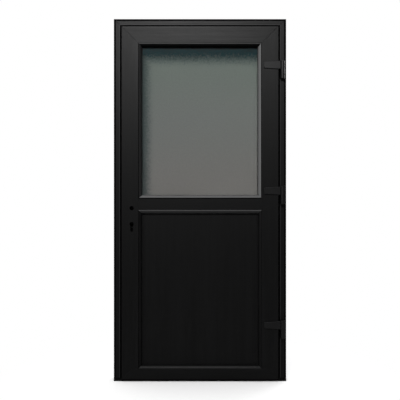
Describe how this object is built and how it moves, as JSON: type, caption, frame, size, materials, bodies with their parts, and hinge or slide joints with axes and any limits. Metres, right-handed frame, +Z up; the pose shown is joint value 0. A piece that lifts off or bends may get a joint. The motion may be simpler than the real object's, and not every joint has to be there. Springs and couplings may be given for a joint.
{
  "type": "glazed pvc back door",
  "caption": "Plastic back door in its frame: obscure insulating glass above a flat infill panel, flag hinges on the right, strip lock on the left, low threshold.",
  "frame": {"origin": "under the middle of the threshold: halfway across the door's width, at mid depth of the outer frame, on the threshold's underside", "axes": "+X to the right seen from the hinge side, +Y through the door away from the viewer, +Z up"},
  "size_m": [1, 0.102, 2.1],
  "materials": {
    "foiled_plastic": "near-black wood-grain foil on plastic profile",
    "hinge_black": "satin powder coat",
    "hinge_steel": "satin powder coat",
    "clear_glass": "clear float glass",
    "patterned_glass": "patterned cast glass, obscure",
    "spacer_aluminium": "mill finish",
    "threshold_aluminium": "dark anodised",
    "seal_rubber": "matt black",
    "brush_fibre": "black pile",
    "panel_foam": "rigid insulating foam",
    "zinc_steel": "zinc plated",
    "bright_steel": "bright plated",
    "black_plastic": "moulded"
  },
  "bodies": {
    "frame": {"outer_frame": "foiled_plastic", "threshold": "threshold_aluminium", "threshold_screws": "bright_steel", "jamb_connectors": "black_plastic", "frame_reinforcement": "zinc_steel", "frame_seal": "seal_rubber", "keep_screws": "bright_steel", "keep_main": "zinc_steel", "hook_keeps": "zinc_steel", "hinge_base_top": "hinge_black", "hinge_base_middle": "hinge_black", "hinge_base_bottom": "hinge_black", "hinge_pins": "bright_steel", "hinge_caps_lower": "hinge_black"},
    "latch": {"latch_bolt": "bright_steel"},
    "deadbolt": {"dead_bolt": "bright_steel"},
    "follower": {"follower": "bright_steel"},
    "rod_upper": {"drive_rod_upper": "zinc_steel"},
    "rod_lower": {"drive_rod_lower": "zinc_steel"},
    "hook_upper": {"hook_upper": "bright_steel"},
    "hook_lower": {"hook_lower": "bright_steel"},
    "leaf": {"brush_seal": "brush_fibre", "edge_seal": "seal_rubber", "faceplate": "zinc_steel", "flag_screws": "bright_steel", "glass_bead_bottom": "foiled_plastic", "glass_bead_left": "foiled_plastic", "glass_bead_right": "foiled_plastic", "glass_bead_top": "foiled_plastic", "glass_seal_back": "seal_rubber", "glass_seal_front": "seal_rubber", "glass_spacer": "spacer_aluminium", "hinge_bushes": "black_plastic", "hinge_caps_upper": "hinge_black", "hinge_covers": "hinge_black", "hinge_flag_bottom": "hinge_steel", "hinge_flag_middle": "hinge_steel", "hinge_flag_top": "hinge_steel", "hook_boxes": "zinc_steel", "lock_case": "zinc_steel", "pane_back": "clear_glass", "pane_front": "patterned_glass", "panel_bead_bottom": "foiled_plastic", "panel_bead_left": "foiled_plastic", "panel_bead_right": "foiled_plastic", "panel_bead_top": "foiled_plastic", "panel_core": "panel_foam", "panel_seal_back": "seal_rubber", "panel_seal_front": "seal_rubber", "panel_skin_back": "foiled_plastic", "panel_skin_front": "foiled_plastic", "plate_screws": "bright_steel", "sash_frame": "foiled_plastic", "sash_reinforcement": "zinc_steel", "sash_seal": "seal_rubber", "setting_blocks": "black_plastic", "transom": "foiled_plastic", "transom_connectors": "bright_steel", "transom_reinforcement": "zinc_steel"}
  },
  "joints": [
    {"name": "leaf_swing", "type": "hinge", "parent": "frame", "child": "leaf", "pos_m": [0.4765, -0.055, 1.05], "axis": [0, 0, 1], "range_deg": [0, 170]},
    {"name": "latch_slide", "type": "slide", "parent": "leaf", "child": "latch", "axis": [-1, 0, 0], "range_m": [0, 0.012]},
    {"name": "follower_turn", "type": "hinge", "parent": "leaf", "child": "follower", "pos_m": [-0.394, -0.01, 1.003], "axis": [0, 1, 0], "range_deg": [-35, 0]},
    {"name": "deadbolt_slide", "type": "slide", "parent": "leaf", "child": "deadbolt", "axis": [-1, 0, 0], "range_m": [0, 0.02]},
    {"name": "rod_upper_slide", "type": "slide", "parent": "leaf", "child": "rod_upper", "axis": [0, 0, 1], "range_m": [0, 0.02]},
    {"name": "rod_lower_slide", "type": "slide", "parent": "leaf", "child": "rod_lower", "axis": [0, 0, -1], "range_m": [0, 0.02]},
    {"name": "hook_upper_turn", "type": "hinge", "parent": "leaf", "child": "hook_upper", "pos_m": [-0.412, -0.01, 1.74], "axis": [0, 1, 0], "range_deg": [0, 90]},
    {"name": "hook_lower_turn", "type": "hinge", "parent": "leaf", "child": "hook_lower", "pos_m": [-0.412, -0.01, 0.3], "axis": [0, 1, 0], "range_deg": [0, 90]}
  ],
  "couplings": [
    {"joint": "follower_turn", "follows": "latch_slide", "rad_per_m": -50.9},
    {"joint": "rod_upper_slide", "follows": "deadbolt_slide", "ratio": 1},
    {"joint": "rod_lower_slide", "follows": "deadbolt_slide", "ratio": 1},
    {"joint": "hook_upper_turn", "follows": "deadbolt_slide", "rad_per_m": 78.54},
    {"joint": "hook_lower_turn", "follows": "deadbolt_slide", "rad_per_m": 78.54}
  ]
}
